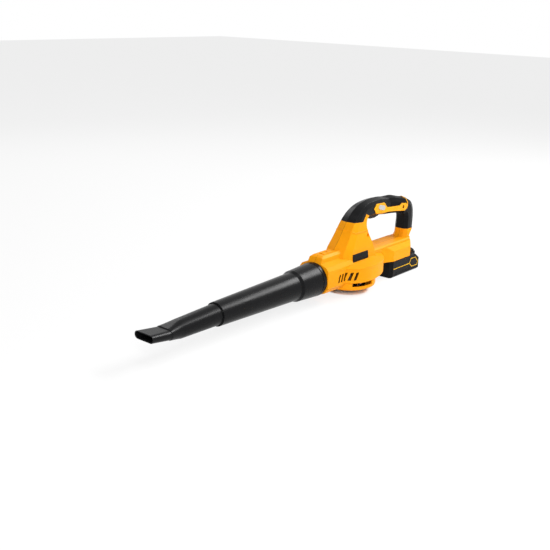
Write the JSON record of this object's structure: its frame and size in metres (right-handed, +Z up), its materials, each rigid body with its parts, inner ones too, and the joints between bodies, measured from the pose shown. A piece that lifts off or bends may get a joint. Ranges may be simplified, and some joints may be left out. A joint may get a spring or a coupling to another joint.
{
  "type": "cordless leaf blower",
  "caption": "Cordless leaf blower: oval fan housing with a closed loop handle, two-piece air tube with a flat bent nozzle tip, and a slide-on battery under a rear dock.",
  "frame": {"origin": "on the fan's axis, in the resting plane: the middle of the rim of the air intake under the drum", "axes": "+X towards the battery, -X along the air tube to the nozzle's mouth; +Y across the tool, the seam of the housings is Y = 0; +Z up, along the fan's axis"},
  "size_m": [0.831, 0.13, 0.1893],
  "materials": {
    "yellow": "satin moulded plastic, yellow-orange",
    "accent": "satin moulded plastic, bright yellow",
    "black": "satin moulded plastic, black",
    "grip": "soft moulded grip, black",
    "tube": "satin moulded plastic, black",
    "trigger": "moulded plastic, dark red-brown",
    "grey": "moulded plastic, grey",
    "steel": "bright steel",
    "spring": "spring steel",
    "copper": "copper windings",
    "brass": "plated contacts",
    "board": "circuit board",
    "aluminium": "bare aluminium",
    "cell": "cell sleeves",
    "lead": "insulated leads"
  },
  "bodies": {
    "housing": {"capacitor": "black", "control_board": "board", "dock_blades": "brass", "dock_terminal_block": "grey", "fan_chamber_plate": "black", "heat_sink": "aluminium", "housing_screws": "steel", "intake_bowl": "yellow", "intake_guard": "black", "intake_screws": "steel", "left_front_cover": "black", "left_grip": "grip", "left_housing": "yellow", "left_label": "black", "left_rear_cover": "black", "left_trigger_frame": "accent", "lower_bearing": "steel", "motor_can": "steel", "motor_leads": "lead", "motor_screws": "steel", "motor_stator": "steel", "motor_windings": "copper", "power_leads": "lead", "right_front_cover": "black", "right_grip": "grip", "right_housing": "yellow", "right_label": "black", "right_rear_cover": "black", "right_trigger_frame": "accent", "switch_leads": "lead", "trigger_pin": "steel", "trigger_spring": "spring", "trigger_switch": "grey", "tube_lock_spring": "spring", "upper_bearing": "steel"},
    "battery": {"battery_cells": "cell", "battery_contacts": "brass", "battery_lower_case": "black", "battery_release_springs": "spring", "battery_trim": "accent", "battery_upper_case": "black"},
    "battery_release_button": {"battery_release_button": "black"},
    "front_nozzle": {"front_nozzle": "tube"},
    "fan": {"impeller": "grey", "impeller_nut": "steel", "motor_rotor": "steel", "motor_shaft": "steel"},
    "speed_lock": {"speed_lock": "grey"},
    "switch_plunger": {"switch_plunger": "grey"},
    "trigger": {"trigger": "trigger"},
    "tube_lock_button": {"tube_lock_button": "yellow"},
    "upper_tube": {"upper_tube": "tube"}
  },
  "joints": [
    {"name": "fan_spin", "type": "hinge", "parent": "housing", "child": "fan", "pos_m": [0, 0, 0.047], "axis": [0, 0, 1], "continuous": true},
    {"name": "trigger_pull", "type": "hinge", "parent": "housing", "child": "trigger", "pos_m": [0.062, 0, 0.159], "axis": [0, -1, 0], "range_deg": [0, 4], "stiffness_Nm_per_rad": 0.5},
    {"name": "switch_plunger_slide", "type": "slide", "parent": "housing", "child": "switch_plunger", "axis": [0, 0, 1], "range_m": [0, 0.0044], "deforming": ["trigger_spring"]},
    {"name": "speed_lock_slide", "type": "slide", "parent": "housing", "child": "speed_lock", "axis": [0, 1, 0], "range_m": [-0.002, 0.002]},
    {"name": "tube_lock_press", "type": "slide", "parent": "housing", "child": "tube_lock_button", "axis": [0, 0, -1], "range_m": [0, 0.0025], "stiffness_N_per_m": 600, "deforming": ["tube_lock_spring"]},
    {"name": "upper_tube_slide", "type": "slide", "parent": "housing", "child": "upper_tube", "axis": [-1, 0, 0], "range_m": [0, 0.045]},
    {"name": "front_nozzle_slide", "type": "slide", "parent": "upper_tube", "child": "front_nozzle", "axis": [-1, 0, 0], "range_m": [0, 0.038]},
    {"name": "battery_slide", "type": "slide", "parent": "housing", "child": "battery", "axis": [1, 0, 0], "range_m": [0, 0.13]},
    {"name": "battery_release_press", "type": "slide", "parent": "battery", "child": "battery_release_button", "axis": [0, 0, -1], "range_m": [0, 0.003], "stiffness_N_per_m": 800, "deforming": ["battery_release_springs"]}
  ],
  "couplings": [
    {"joint": "switch_plunger_slide", "follows": "trigger_pull", "m_per_rad": 0.062}
  ]
}
